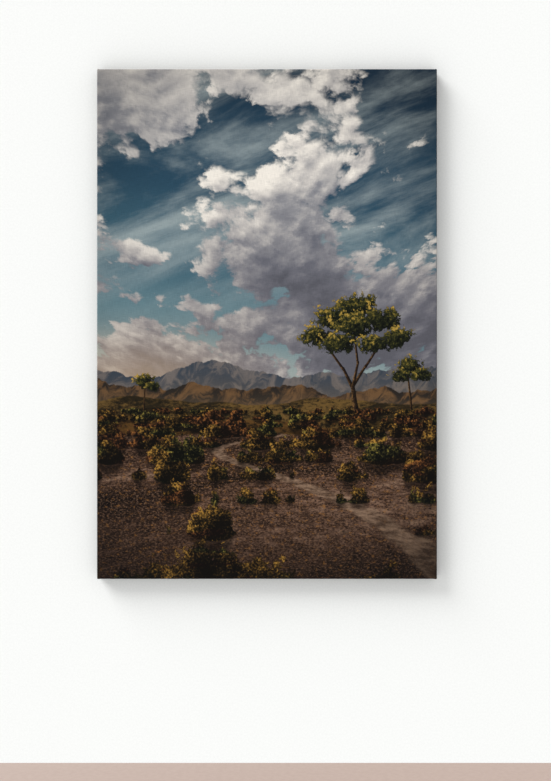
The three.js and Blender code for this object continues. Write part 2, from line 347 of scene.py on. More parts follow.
# %% [markdown]
# Clouds are the hard part. Plain noise looks like smoke, because a real heap cloud is a pile of
# round lumps. So three patterns are added: a broad noise says where clouds are, a fine one frays
# them, and a smoothed cell pattern heaps them up. The plane that they lie on is squeezed towards
# the horizon, as a cloud deck is in perspective.
#
# There is no lamp inside a picture, so the bank is read again nearer to the sun. Where the cloud
# is thinner there, this spot faces the light. Clouds low in the sky are seen from below, so they
# are darker.

# %% Clouds
CLOUD_SEED = 2.35
# Where the bank is read, across and up: here, and at two places towards the sun
READINGS = ((0.0, 0.0), (-0.013, 0.018), (-0.045, 0.070))
CLOUD = [(0.0, "4c525c"), (0.30, "6c6f79"), (0.55, "939397"), (0.78, "cac5c0"), (1.0, "f6efe4")]
SUN_X = -0.42


def cloud_group():
    """How thick the cloud is at a point of the sky. It is over 0 where there is cloud."""
    tree, (x, y, cover), target = group("cloud_bank", ["X", "Y", "Cover"], ["Thickness"])
    rise = maths("MAXIMUM", y - HORIZON, 0.0) + 0.24
    across = x / rise + CLOUD_SEED
    away = maths("LOGARITHM", rise, math.e) * 1.15 - 0.10 / rise + CLOUD_SEED
    shape = noise(across, away, 1.05, 2.0, 0.5, 3.0, 0.3)
    frayed = noise(across, away, 3.4, 10.0, 0.60, 8.0, 0.12)
    heaped = {"Vector": point(across + frayed * 0.22, away + frayed * 0.22), "Scale": 5.2}
    heaped |= {"Detail": 4.0, "Roughness": 0.55, "Smoothness": 0.25}
    round_cells = {"voronoi_dimensions": "2D", "feature": "SMOOTH_F1", "normalize": True}
    lumps = 0.42 - first_output(tree, "ShaderNodeTexVoronoi", heaped, **round_cells)
    thickness = (shape - 0.5) * 2.5 + (frayed - 0.5) * 1.15 + lumps * 0.95 + cover
    feed(target.inputs["Thickness"], thickness)
    return tree


def with_clouds(tree, x, y, sky):
    """The sky with its clouds, lit from the upper left, and the glow of a low sun."""
    bank = cloud_group()
    cover = step(y, 0.0, 0.66, 0.12, -0.34) + step(x, -0.5, 0.5, 0.17, -0.12)
    here, near, far = [
        use(tree, bank, X=x + across, Y=y + up, Cover=cover)[0] for across, up in READINGS
    ]
    low = step(y, HORIZON + 0.68, HORIZON + 0.22)
    lit = 0.90 + (here - near) * 0.90 + (here - far) * 0.80 - here * 0.98 - low * 0.30
    cloud = mix(low * 0.50, ramp(lit, CLOUD), srgb("6a656b"))
    sky = mix(step(here, -0.02, 0.11), sky, cloud)
    sideways = step(maths("ABSOLUTE", x - SUN_X), 0.75, 0.0)
    glow = sideways * sideways * step(y, HORIZON + 0.30, HORIZON - 0.05)
    return mix(glow * 0.5, sky, srgb("e6c49a"))


print("cloud readings per point:", len(READINGS))

# %% [markdown]
# Ridges and hills are the same idea at two distances: a line of noise is the crest, and all that
# lies below it takes a slope's colours. Air does the rest: the further ridge is bluer and paler,
# and both ridges fade into haze at their foot. The hills are rough with scrub instead.

# %% Ridges and hills
# Each far ridge by its level, height, scale, seed, shade and light
RIDGES = (
    (-0.135, 0.115, 2.1, 41.0, "3b434d", "6d6663"),
    (-0.185, 0.085, 3.0, 47.0, "292420", "6a4e33"),
)
# Each hill by the same, and the scale of its scrub
HILLS = (
    (-0.232, 0.060, 2.2, 61.0, "261f13", "6b522b", 60.0),
    (-0.282, 0.070, 1.7, 66.0, "1b150d", "5c401e", 42.0),
)


def skyline(x, level, height, scale, seed, detail, rough):
    """A crest that wanders up and down about its level."""
    return level + (noise_along(x + seed, scale, detail, rough) - 0.5) * height * 2


def with_ridges(x, y, colour):
    """Far ridges in the haze, the furthest first."""
    for level, height, scale, seed, shade, light in RIDGES:
        crest = skyline(x, level, height, scale, seed, 7.0, 0.55)
        down = crest - y
        gullies = noise(x + down * 0.5, down * 0.9, 20.0, 6.0, 0.62, seed, 0.7)
        slope = mix(step(gullies, 0.40, 0.64), srgb(shade), srgb(light))
        slope = mix(step(y, crest, level - 0.11, 0.0, 0.4), slope, srgb("776752"))
        colour = mix(step(down, 0.0, 0.0035), colour, slope)
    return colour


def with_hills(x, y, colour):
    """Rolling hills rough with scrub, the furthest first."""
    for level, height, scale, seed, shade, light, fine in HILLS:
        crest = skyline(x, level, height, scale, seed, 2.0, 0.4)
        scrub = noise(x, y * 2.2, fine, 6.0, 0.75, seed)
        down = crest + (scrub - 0.5) * 0.012 - y
        fold = noise(x + down * 1.4, down * 2.6, 6.0, 3.0, 0.5, seed + 3.0, 0.4)
        tone = (fold - 0.5) * 1.6 + (scrub - 0.5) * 1.8 + 0.45
        hill = mix(step(tone, 0.15, 0.85), srgb(shade), srgb(light))
        hill = mix(step(scrub, 0.44, 0.32) * 0.8, hill, srgb("14150f"))
        colour = mix(step(down, 0.0, 0.004), colour, hill)
    return colour


print("land layers behind the ground:", len(RIDGES) + len(HILLS))

# %% [markdown]
# The near ground has to lie down. Dividing x by the height below the vanishing line, and one by
# that height, gives the place on a level plain. Noise that is read there comes out in true
# perspective: coarse stones at the bottom of the print and fine ones far away. Fine noise flecks
# the soil with pale grit, dark grit and gold straw, and a dusty track winds over the same plain.

# %% Ground
PLAIN_TOP = -0.30
SOIL = [(0.0, "17100d"), (0.35, "2e2018"), (0.62, "493428"), (0.82, "6b5142"), (1.0, "90735d")]


def with_ground(x, y, colour):
    """Gravelly soil in perspective, a track, and a dark lower edge."""
    below = maths("MAXIMUM", PLAIN_TOP - y, 0.0) + 0.035
    across, away = x / below, 0.9 / below
    patches = noise(across, away, 0.42, 4.0, 0.6, 73.0, 0.5)
    stones = noise(across, away, 5.5, 7.0, 0.74, 75.0)
    grit = noise(x, y * 1.7, 130.0, 4.0, 0.72, 77.0)
    soil = ramp(step(patches * 0.55 + stones * 0.45, 0.34, 0.66, kind="LINEAR"), SOIL)
    soil = mix(step(grit, 0.54, 0.64) * 0.6, soil, srgb("8c6c55"))
    soil = mix(step(grit, 0.46, 0.36) * 0.85, soil, srgb("0e0a08"))
    gold = noise(x, y * 1.5, 60.0, 4.0, 0.8, 81.0)
    soil = mix(step(gold, 0.58, 0.68) * 0.7, soil, srgb("9a6a38"))
    bend = maths("SINE", 0.42 / below + 0.6) * 1.2 * below - 0.02
    half = below * 0.17 + 0.003
    stray = (noise(across, away, 3.0, 5.0, 0.65, 79.0) - 0.5) * half * 1.5
    track = step(maths("ABSOLUTE", x - bend) + stray, half, half * 0.55)
    dust = mix(step(stones, 0.35, 0.68), srgb("4f3c2f"), srgb("9c8069"))
    soil = mix(track * 0.75, soil, dust)
    soil = mix(step(y, -0.50, -0.80) * 0.55, soil, srgb("0d0a08"))
    edge = skyline(x, -0.318, 0.025, 2.4, 71.0, 2.0, 0.5)
    return mix(step(edge - y, 0.0, 0.006), colour, soil)


print("ground in perspective below", PLAIN_TOP)

# %% [markdown]
# Broad-crowned trees give the picture its uprights. Their stems and boughs are limbs that taper.
# One node group draws a limb from its foot, its tip and its width, so the wood of a tree is only
# a short list of numbers. The limbs are laid over each other as two numbers, how far a place is
# covered and how well it is lit, and the colours are made once at the end.

# %% Limbs of the trees
# Each limb by its foot, its tip and its half width at the foot
LIMB_SIZES = ("Foot X", "Foot Y", "Tip X", "Tip Y", "Half")
LIMBS = (
    (0.273, -0.296, 0.259, -0.238, 0.0135),
    (0.259, -0.242, 0.252, -0.180, 0.0098),
    (0.252, -0.188, 0.224, -0.130, 0.0066),
    (0.225, -0.134, 0.178, -0.068, 0.0048),
    (0.252, -0.184, 0.291, -0.122, 0.0062),
    (0.290, -0.126, 0.332, -0.060, 0.0046),
    (0.252, -0.186, 0.268, -0.112, 0.0058),
    (0.267, -0.116, 0.256, -0.020, 0.0044),
    (0.427, -0.286, 0.422, -0.215, 0.0052),
    (0.422, -0.218, 0.413, -0.140, 0.0038),
    (-0.362, -0.254, -0.359, -0.188, 0.0028),
)


def limb_group():
    """One straight limb that tapers, lit from the left."""
    tree, given, target = group("limb", ["X", "Y", *LIMB_SIZES], ["Mask", "Light"])
    x, y, foot_x, foot_y, tip_x, tip_y, half = given
    way_x, way_y = tip_x - foot_x, tip_y - foot_y
    from_x, from_y = x - foot_x, y - foot_y
    along = (from_x * way_x + from_y * way_y) / (way_x * way_x + way_y * way_y)
    along = maths("MINIMUM", maths("MAXIMUM", along, 0.0), 1.0)
    off_x, off_y = from_x - along * way_x, from_y - along * way_y
    off = maths("SQRT", off_x * off_x + off_y * off_y)
    width = half * (1.0 - along * 0.3)
    feed(target.inputs["Mask"], step(off, width, width * 0.65))
    feed(target.inputs["Light"], 0.36 - off_x / width * 0.5)
    return tree


def laid_over(tree, made_group, labels, rows, **given):
    """Uses a group once for each row of sizes, each over the last. Returns cover and light."""
    cover = lit = 0.0
    for row in rows:
        mask, light = use(tree, made_group, **given, **dict(zip(labels, row)))
        cover = blend(mask, cover, 1.0)
        lit = blend(mask, lit, light)
    return cover, lit


print("limbs:", len(LIMBS))

# %% [markdown]
# A crown is a heap of round lumps of leaves, each lit on its upper left and dark underneath, and
# noise frays every lump into leaves. The crown hides where the boughs meet. Lumps that are wide
# and flat also serve as the shade on the ground, which is laid down before the trees.

# %% Leaves of the trees
# Each lump of leaves by its middle, half width and half height, the ones behind first
LUMP_SIZES = ("Middle X", "Middle Y", "Wide", "High")
LUMPS = (
    (0.262, 0.048, 0.074, 0.050),
    (0.196, 0.016, 0.070, 0.044),
    (0.332, 0.012, 0.068, 0.044),
    (0.262, -0.006, 0.082, 0.048),
    (0.148, -0.034, 0.058, 0.034),
    (0.382, -0.040, 0.054, 0.032),
    (0.212, -0.054, 0.070, 0.034),
    (0.316, -0.058, 0.066, 0.032),
    (0.420, -0.124, 0.044, 0.034),
    (0.452, -0.148, 0.034, 0.024),
    (0.390, -0.150, 0.032, 0.022),
    (-0.360, -0.168, 0.032, 0.024),
    (-0.338, -0.182, 0.024, 0.016),
)
# The shade on the ground under the trees, by the same four numbers
SHADES = (
    (0.300, -0.292, 0.170, 0.016),
    (-0.345, -0.252, 0.050, 0.006),
)
BARK = [(0.0, "0d0a08"), (0.5, "2e2015"), (1.0, "9a7342")]
GREEN = [(0.0, "090c08"), (0.34, "191d11"), (0.58, "3a3a1b"), (0.80, "6e6028"), (1.0, "b39143")]


def lump_group():
    """One round lump of leaves, lit from the upper left."""
    names = ["X", "Y", "Leaves", "Tufts", *LUMP_SIZES]
    tree, given, target = group("lump_of_leaves", names, ["Mask", "Light"])
    x, y, leaves, tufts, middle_x, middle_y, wide, high = given
    across, up = (x - middle_x) / wide, (y - middle_y) / high
    reach = 1.0 - maths("SQRT", across * across + up * up)
    frayed = reach + (leaves - 0.5) * 1.5 + (tufts - 0.5) * 1.3
    feed(target.inputs["Mask"], step(frayed, 0.10, 0.20))
    light = 0.36 - across * 0.22 + up * 0.32 + (leaves - 0.5) * 2.2 + (tufts - 0.5) * 0.9
    feed(target.inputs["Light"], light)
    return tree


def with_trees(tree, place, x, y, colour):
    """The trees over the land, first their shade, then their limbs and then their leaves."""
    leaves = noise_at(place, 95.0, 4.0, 0.75)
    tufts = noise_at(place, 28.0, 3.0, 0.6)
    leafy = {"X": x, "Y": y, "Leaves": leaves, "Tufts": tufts}
    lump = lump_group()
    shade, _ = laid_over(tree, lump, LUMP_SIZES, SHADES, **leafy)
    colour = mix(shade * 0.7, colour, srgb("0f0d08"))
    cover, lit = laid_over(tree, limb_group(), LIMB_SIZES, LIMBS, X=x, Y=y)
    colour = mix(cover, colour, ramp(lit + (leaves - 0.5) * 1.2, BARK))
    cover, lit = laid_over(tree, lump, LUMP_SIZES, LUMPS, **leafy)
    return mix(cover, colour, ramp(lit, GREEN))


print("lumps of leaves:", len(LUMPS))

# %% [markdown]
# Shrubs stand in rows, small and close together far off, large and sparse in front. A row could
# be a list of bushes, but a line of noise does it with no list: where it rises over a level
# there is a bush, as tall as the noise is high. Fine noise at the row's own scale frays the
# leaves, and the slope of the line says which flank faces the sun.
#
# A shader can hold only some 250 numbers at a time, and one that needs more renders black. So
# the rows hand on four numbers (cover, light, kind and dark) and the colours are made once. Last,
# one more fine noise dots every shrub with small leaves in sun and shade.

# %% Shrubs
GOLD = [(0.0, "0e0b07"), (0.36, "2a2010"), (0.66, "60461e"), (1.0, "ab8038")]
OLIVE = [(0.0, "0a0b07"), (0.36, "1e1e11"), (0.66, "47411e"), (1.0, "8a7c38")]
RUST = [(0.0, "100a07"), (0.36, "29190f"), (0.66, "54341d"), (1.0, "96602f")]
# Each row by base line, size, seed and the level that a bush has to rise over
SHRUB_ROWS = (
    (-0.262, 0.018, 1.0, 0.38),
    (-0.280, 0.024, 2.0, 0.38),
    (-0.302, 0.032, 3.0, 0.39),
    (-0.328, 0.042, 4.0, 0.40),
    (-0.360, 0.054, 5.0, 0.41),
    (-0.402, 0.066, 6.0, 0.43),
    (-0.455, 0.080, 7.0, 0.46),
    (-0.525, 0.092, 8.0, 0.50),
    (-0.620, 0.105, 9.0, 0.52),
    (-0.765, 0.150, 10.0, 0.44),
)


def shrub_group():
    """A row of low shrubs along one line of the ground, as seen from the front."""
    names = ["X", "Y", "Leaf", "Base", "Size", "Seed", "Level"]
    tree, given, target = group("shrub_row", names, ["Mask", "Light", "Shade"])
    x, y, leaf, base, size, seed, level = given
    along = x / size * 0.42 + seed * 13.7
    rise = noise_along(along, 1.0, 3.0, 0.5) - level
    lump = maths("POWER", maths("MAXIMUM", rise, 0.0), 0.55) * 2.1 - 0.06
    beside = noise_along(along + 0.13, 1.0, 3.0, 0.5) - level
    up = (y - base) / size
    top = lump + (leaf - 0.5) * 1.5
    there = step(rise, 0.0, 0.02)
    feed(target.inputs["Mask"], step(top - up, 0.0, 0.05) * step(up + lump * 0.3, 0.0, 0.1) * there)
    light = 0.23 + (beside - rise) * 1.8 + (up - lump * 0.5) * 0.6 + (leaf - 0.5) * 2.6
    feed(target.inputs["Light"], light)
    shade = lump * 0.8 - maths("ABSOLUTE", up + lump * 0.15)
    feed(target.inputs["Shade"], step(shade, 0.0, 0.4) * there)
    return tree


def with_shrubs(tree, place, x, y, colour):
    """Rows of gold, olive and rust shrubs, each row over the one behind it."""
    shrub_row = shrub_group()
    hue = noise(x, y * 3.0, 7.0, 2.0, 0.5, 91.0)
    cover = lit = kind = dark = 0.0
    for base, size, seed, level in SHRUB_ROWS:
        leaf = noise_at(place, 2.2 / size, 7.0, 0.74)
        values = {"Leaf": leaf, "Base": base, "Size": size, "Seed": seed, "Level": level}
        mask, light, shade = use(tree, shrub_row, X=x, Y=y, **values)
        cover = blend(mask, cover, 1.0)
        lit = blend(mask, lit, light)
        kind = blend(mask, kind, seed * 0.010)
        dark = blend(mask, blend(shade * 0.75, dark, 1.0), 0.0)
    lit = lit + (noise_at(place, 150.0, 3.0, 0.6) - 0.5) * 2.1
    leaf = mix(step(hue + kind, 0.42, 0.50), ramp(lit, OLIVE), ramp(lit, GOLD))
    leaf = mix(step(hue - kind, 0.50, 0.55), leaf, ramp(lit, RUST))
    return mix(dark, mix(cover, colour, leaf), srgb("0c0907"))


print("rows of shrubs:", len(SHRUB_ROWS))

# %% [markdown]
# Now the layers are put in order. The corners darken a little, as they do through a wide lens,
# which keeps the eye in the middle of the print.

# %% The whole picture


def landscape(place):
    """The whole picture's colour at a place, with corners that darken a little."""
    tree = tree_of([place])
    x, y, _ = parts_of(place)
    colour = with_clouds(tree, x, y, sky_colour(x, y))
    colour = with_hills(x, y, with_ridges(x, y, colour))
    colour = with_trees(tree, place, x, y, with_ground(x, y, colour))
    colour = with_shrubs(tree, place, x, y, colour)
    corner = maths("SQRT", x * x * 1.3 + y * y * 0.75)
    return mix(step(corner, 0.42, 0.90) * 0.45, colour, srgb("07090c"))


print("the picture is", round(half_height / half_width, 3), "times as high as it is wide")

# %% [markdown]
# Cotton canvas is a plain weave: each thread goes over one and under the next. One sine gives a
# thread its round section and the other lifts and lowers it along its length, with the sign
# changing from thread to thread. The higher of the upright and the level thread is what shows.
# Slubs, where a thread is now and then thicker, come from noise that is stretched along each
# family of threads. A second output is painted shade with the slubs in it: low in the gaps
# between threads and high on their crowns, and the finishes colour the cloth by it.

# %% The weave
THREAD = 0.9 * MM


def weave_group():
    """Height and painted shade (with slubs) of a plain weave, from 0 to 1, at a place on the flat
    cloth in metres.
    """
    tree, (u, v), target = group("canvas_weave", ["U", "V"], ["Height", "Shade and Slubs"])
    drift_u = u + (noise(u, v, 9.0, 2.0, seed=1.0) - 0.5) * THREAD * 2
    drift_v = v + (noise(u, v, 9.0, 2.0, seed=5.0) - 0.5) * THREAD * 2
    wave_u = maths("SINE", drift_u * (math.pi / THREAD))
    wave_v = maths("SINE", drift_v * (math.pi / THREAD))
    round_u = maths("POWER", maths("ABSOLUTE", wave_u), 0.5)
    round_v = maths("POWER", maths("ABSOLUTE", wave_v), 0.5)
    upright_thread = round_u * (0.55 + maths("SIGN", wave_u) * wave_v * 0.45)
    level_thread = round_v * (0.55 - maths("SIGN", wave_v) * wave_u * 0.45)
    crown = maths("MAXIMUM", upright_thread, level_thread)
    weft = noise(u * 0.04, v, 1.0 / THREAD, 1.0, seed=2.0)
    warp = noise(u, v * 0.04, 1.0 / THREAD, 1.0, seed=4.0)
    slubs = (weft - 0.5) + (warp - 0.5)
    feed(target.inputs["Height"], crown * 0.55 + slubs * 0.6 + 0.2)
    # Painted shade, dark in the gaps and light on the crowns, with the slubs' own tone in it
    feed(target.inputs["Shade and Slubs"], step(crown * 0.7 + slubs * 1.3, -0.35, 1.05, kind="LINEAR"))
    return tree


weave = weave_group()
print("threads in 10 mm:", round(10 * MM / THREAD, 1))

# %% [markdown]
# The printed side. The picture reads a UV map that is simply the cloth laid flat, so it runs on
# round the edges as a printer's file does, and the weave follows the folds. Printers darken what
# goes round the sides, so that a bright cloud doesn't end in a bright rim, and it keeps light off
# the wall beside the print too. The ink stops 12 mm into the fold on the back, where the white
# primer shows. Handling rubs the ink off the crowns of the threads along the outer edges, so a
# little primer shows there as well. The weave's painted shade darkens the ink and the primer in
# the gaps between threads, and lightens the primer on their crowns.

# %% Printed canvas
FOLD = 24 * MM
INK_PAST_BACK = 12 * MM
INK_EDGE = 0.4 * MM
INK_RAGGED = 1.2 * MM
SIDES_DARKER = 0.74
SIDES_DARKEN_OVER = 3 * MM
# The rubbed line: how far past the front's edge it is, and where it starts and is strongest
RUBBED_AT = 1.5 * MM
RUBBED_REACH = (2.4 * MM, 0.2 * MM)
side_depth = back_y - front_y
flat_width = 2 * (half_width + side_depth + FOLD)
flat_height = 2 * (half_height + side_depth + FOLD)
ink_beyond = side_depth + INK_PAST_BACK


def flat_place(tree, unit=1.0):
    """The place on the flat cloth as a vector from the middle of the print, in that unit."""
    values = {"Vector": first_output(tree, "ShaderNodeUVMap", uv_map="flat")}
    values["Scale"] = (flat_width / unit, flat_height / unit, 1.0)
    values["Location"] = (-0.5 * flat_width / unit, -0.5 * flat_height / unit, 0.0)
    return first_output(tree, "ShaderNodeMapping", values)


def printed_canvas():
    """The picture on the weave, darker round the sides, primer where the ink stops, and painted shade
    between the threads.
    """
    material, tree, shader = finish_of("printed_canvas", Specular_IOR_Level=0.07)
    ink = landscape(flat_place(tree, unit=2 * half_width))
    u, v, _ = parts_of(flat_place(tree))
    height, tone = use(tree, weave, U=u, V=v)
    beyond_u = maths("ABSOLUTE", u) - half_width
    beyond_v = maths("ABSOLUTE", v) - half_height
    beyond = maths("MAXIMUM", beyond_u, beyond_v)
    ragged = (noise(u, v, 260.0, 2.0, seed=9.0) - 0.5) * INK_RAGGED
    # Painted shade: the primer is darker in the gaps between threads and lighter on their crowns
    primer = mix(tone, srgb("d8d3c6"), srgb("f1eee6"))
    ink = mix(step(beyond, 0.0, SIDES_DARKEN_OVER) * SIDES_DARKER, ink, srgb("0b0c0e"))
    on_edge = step(maths("ABSOLUTE", beyond - RUBBED_AT), *RUBBED_REACH)
    rubbed = step(noise(u, v, 38.0, 5.0, 0.7, 12.0), 0.50, 0.80) * step(tone, 0.2, 0.9)
    ink = mix(on_edge * rubbed * 0.2, ink, primer)
    # Painted shade: the ink darkens towards black in the gaps between threads
    ink = mix(step(tone, 0.0, 1.0, 0.24, 0.0), ink, srgb("05060a"))
    colour = mix(step(beyond + ragged, ink_beyond - INK_EDGE, ink_beyond), ink, primer)
    dress(shader, colour, step(tone, 0.0, 1.0, 0.82, 0.64), height, 0.12 * MM)
    return material


printed = printed_canvas()
print("flat cloth:", round(flat_width, 4), "by", round(flat_height, 4), "m")

# %% [markdown]
# The other side is bare cotton. It isn't one colour: raw cloth has darker flecks of husk, slubs
# and a faint cloudiness where the primer soaked in from the front. Painted shade darkens the
# gaps between the threads.

# %% Bare canvas


def bare_canvas():
    """Raw cotton on the same weave."""
    material, tree, shader = finish_of("bare_canvas", Specular_IOR_Level=0.2)
    u, v, _ = parts_of(flat_place(tree))
    height, tone = use(tree, weave, U=u, V=v)
    cloudy = noise(u, v, 3.0, 6.0, 0.7, 31.0)
    colour = mix(step(cloudy, 0.25, 0.75), srgb("ddd2b8"), srgb("e9e1cd"))
    # Painted shade: the bare cotton is darker in the gaps between threads
    colour = mix(step(tone, 0.0, 1.0, 0.40, 0.0), colour, srgb("a08f6e"))
    husk = noise(u * 0.6, v, 520.0, 3.0, 0.6, 33.0)
    spread = noise(u, v, 30.0, 2.0, 0.5, 35.0)
    colour = mix(step(husk + (spread - 0.5) * 0.3, 0.74, 0.82) * 0.6, colour, srgb("7d6443"))
    dress(shader, colour, step(tone, 0.0, 1.0, 0.95, 0.85), height, 0.16 * MM)
    return material


bare = bare_canvas()
print("bare side:", len(bare.node_tree.nodes), "nodes")

# %% [markdown]
# Now the cloth itself. It could be a box with a hole in its back, but then it would have no
# folds. This canvas is made as the real one is: a flat sheet, laid on the frame and wrapped
# round it. A function says where each place on the flat sheet ends up.
#
# The four corner squares are the craft in it. Each becomes a dart. The cloth of the long side
# turns onto the top or bottom and lies flat there as a triangle, and the cloth of the top turns
# back under itself until the two meet along the diagonal. So the top has three layers there,
# and a soft ridge runs back from the corner at 45 degrees.

# %% Where the cloth lies
CLOTH = 0.45 * MM
LAYER = CLOTH + 0.04 * MM
EDGE_RADIUS = 3.0 * MM
MITRE_RISE = 3 * MM


def smooth(value, low, high):
    """A soft step from 0 at low to 1 at high."""
    share = min(max((value - low) / (high - low), 0.0), 1.0)
    return share * share * (3 - 2 * share)


def turned_round(half_along, half_out, along, beyond):
    """A place on a sharp-edged box: along the edge, outwards, and back from the front."""
    if beyond <= 0:
        return along, half_out + beyond, 0.0
    if beyond <= side_depth:
        return along, half_out, beyond
    return along, half_out - (beyond - side_depth), side_depth


def rounded(place, halves, lift):
    """The same place on a box with round edges, raised from it by lift."""
    limits = [(-h + EDGE_RADIUS, h - EDGE_RADIUS) for h in halves]
    limits.append((EDGE_RADIUS, side_depth - EDGE_RADIUS))
    core = Vector([min(max(p, low), high) for p, (low, high) in zip(place, limits)])
    away = (Vector(place) - core).normalized()
    return core + away * (EDGE_RADIUS + lift)


def in_frame_space(spot, upright, side):
    """From (along, out, back) to the frame's x, y and z."""
    along, out, back = spot
    x, z = (out * side, along) if upright else (along, out * side)
    return Vector((middle.x + x, front_y + back, middle.z + z))


print("cloth", CLOTH / MM, "mm thick, folded round", round(side_depth / MM, 1), "mm sides")

# %% [markdown]
# The sheet is made from patches: the front, four flaps and eight half darts. A patch is a grid
# of spots, each with its place in space and its place on the flat cloth. Faces are all wound the
# same way round on the flat cloth, which keeps the printed side consistent even where the cloth
# is folded upside down. Then the seams are merged and the sheet is one piece.

# %% Patches of cloth
COARSE = 20 * MM
FINE_ZONE = 66 * MM
FINE = 3 * MM
TURN_ROWS = 3
SIDE_ROWS = 9
FOLD_ROWS = 6
DART_COLUMNS = 8


def stops(half):
    """Places along a side: wide apart in the middle, fine near the ends, finest at the edge."""
    inner = half - FINE_ZONE
    count = round(2 * inner / COARSE)
    places = [-inner + 2 * inner * i / count for i in range(count + 1)]
    fine = [inner + FINE * i for i in range(1, round((FINE_ZONE - EDGE_RADIUS) / FINE) + 1)]
    fine += [half - EDGE_RADIUS * share for share in (2 / 3, 1 / 3, 0)]
    return [-p for p in reversed(fine)] + places + fine


def depths():
    """Distances past the front's edge, fine where the cloth turns."""
    turn = [EDGE_RADIUS * i / TURN_ROWS for i in range(TURN_ROWS + 1)]
    flat = side_depth - 2 * EDGE_RADIUS
    side = [EDGE_RADIUS + flat * i / SIDE_ROWS for i in range(1, SIDE_ROWS)]
    back_turn = [side_depth - t for t in reversed(turn)] + [side_depth + t for t in turn[1:]]
    flat = FOLD - EDGE_RADIUS
    fold = [side_depth + EDGE_RADIUS + flat * i / FOLD_ROWS for i in range(1, FOLD_ROWS + 1)]
    return turn + side + back_turn + fold


def add_patch(sheet, flat_layer, rows):
    """Faces between rows of (place, flat place) spots, wound anticlockwise on the flat cloth."""
    made = [[(sheet.verts.new(place), flat) for place, flat in row] for row in rows]
    for low, high in zip(made, made[1:]):
        for i in range(len(low) - 1):
            corners = [low[i], low[i + 1], high[i + 1], high[i]]
            area = 0.0
            for (_, a), (_, b) in zip(corners, corners[1:] + corners[:1]):
                area += a[0] * b[1] - b[0] * a[1]
            if area < 0:
                corners.reverse()
            face = sheet.faces.new([vertex for vertex, _ in corners])
            face.smooth = True
            for loop, (_, flat) in zip(face.loops, corners):
                loop[flat_layer].uv = (flat[0] / flat_width + 0.5, flat[1] / flat_height + 0.5)


print("places along a short side:", len(stops(half_width)), "and down a flap:", len(depths()))

# %% [markdown]
# Each flap knows how far it is lifted by the layers under it. The top and bottom flaps ride over
# their darts, and on the back they lie over the side flaps and end in a mitre. The side flaps
# lie straight on the wood. The cut edge wanders by up to a millimetre, as scissors do.

# %% Flaps and darts
STRAY = 0.5 * MM
# Where a flap starts and ends its rise over a dart, from the dart's slanting edge
DART_RISE = (-3 * MM, 1 * MM)
# The last stretch before a corner, where the lift eases off to half
CORNER_EASE = 1.2 * MM
# Two layers that meet share the gap between them
HALF_GAP = 0.5 * (LAYER - CLOTH)
# The share of a dart's width over which its upper layer comes down to that
TUCKED_BY = 0.25


def cut_edge(along):
    """How far the scissors strayed at a place along a side."""
    waves = math.sin(along * 31) + 0.6 * math.sin(along * 83 + 1) + 0.3 * math.sin(along * 211)
    return STRAY * waves


def over_lift(half_along, along, beyond):
    """How high a top or bottom flap lies over the layers below it."""
    from_end = half_along - abs(along)
    dart = 2 * LAYER * smooth(beyond - from_end, *DART_RISE)
    dart *= 1 - 0.5 * smooth(from_end, CORNER_EASE, 0.0)
    mitre = LAYER * smooth(from_end, FOLD + MITRE_RISE, FOLD - MITRE_RISE)
    on_back = smooth(beyond, side_depth - EDGE_RADIUS, side_depth + EDGE_RADIUS)
    return dart * (1 - on_back) + mitre * on_back


def flap(sheet, flat_layer, upright, side):
    """One flap from the front's edge to its cut edge on the back."""
    half_along, half_out = (half_height, half_width) if upright else (half_width, half_height)
    rows = []
    for beyond in depths():
        past_back = max(beyond - side_depth, 0.0)
        limit = half_along if upright else half_along - past_back
        inner = half_along - FINE_ZONE
        row = []
        for along in stops(half_along):
            if abs(along) > inner:
                share = (abs(along) - inner) / FINE_ZONE
                along = math.copysign(inner + share * (limit - inner), along)
            reach = beyond + cut_edge(along) * past_back / FOLD
            spot = turned_round(half_along, half_out, along, reach)
            lift = 0.0 if upright else over_lift(half_along, along, beyond)
            place = rounded(spot, (half_along, half_out), lift)
            out = (half_out + reach) * side
            flat = (out, along) if upright else (along, out)
            row.append((in_frame_space(place, upright, side), flat))
        rows.append(row)
    add_patch(sheet, flat_layer, rows)


def half_dart(sheet, flat_layer, side_x, side_z, from_side):
    """Half of a corner square: the side's cloth turned onto the top, or the top's turned under."""
    rows = []
    for beyond in [d for d in depths() if d <= side_depth]:
        row = []
        for i in range(DART_COLUMNS + 1):
            share = i / DART_COLUMNS
            inwards = beyond * share
            if from_side:
                lift = HALF_GAP * share
            else:
                lift = LAYER + (HALF_GAP - LAYER) * smooth(share, 0.0, TUCKED_BY)
            spot = (half_width - inwards, half_height, beyond)
            x, z, back = rounded(spot, (half_width, half_height), lift)
            place = Vector((middle.x + x * side_x, front_y + back, middle.z + z * side_z))
            out = (half_width + beyond, half_height + inwards)
            under = (half_width + inwards, half_height + beyond)
            flat = out if from_side else under
            row.append((place, (flat[0] * side_x, flat[1] * side_z)))
        rows.append(row)
    add_patch(sheet, flat_layer, rows)


print("a flap over a dart is lifted", round(2 * LAYER / MM, 2), "mm")

# %% [markdown]
# Solidify gives the cloth its thickness, inwards from the printed side, and puts the bare cotton
# on the inside and along the cut edge.

# %% Make the canvas
# Vertices nearer than a seam are merged, and edges shorter than nothing are taken out
SEAM = 0.01 * MM
NOTHING = 0.001 * MM


def settled(piece):
    """The piece as a plain mesh with its modifiers applied."""
    evaluated = piece.evaluated_get(bpy.context.evaluated_depsgraph_get())
    mesh = bpy.data.meshes.new_from_object(evaluated)
    piece.modifiers.clear()
    piece.data = mesh
    mesh.name = piece.name
    return piece


def new_piece(name, mesh, *materials):
    """A new object at the origin with its materials."""
    piece = bpy.data.objects.new(name, mesh)
    bpy.context.scene.collection.objects.link(piece)
    for material in materials:
        mesh.materials.append(material)
    return piece


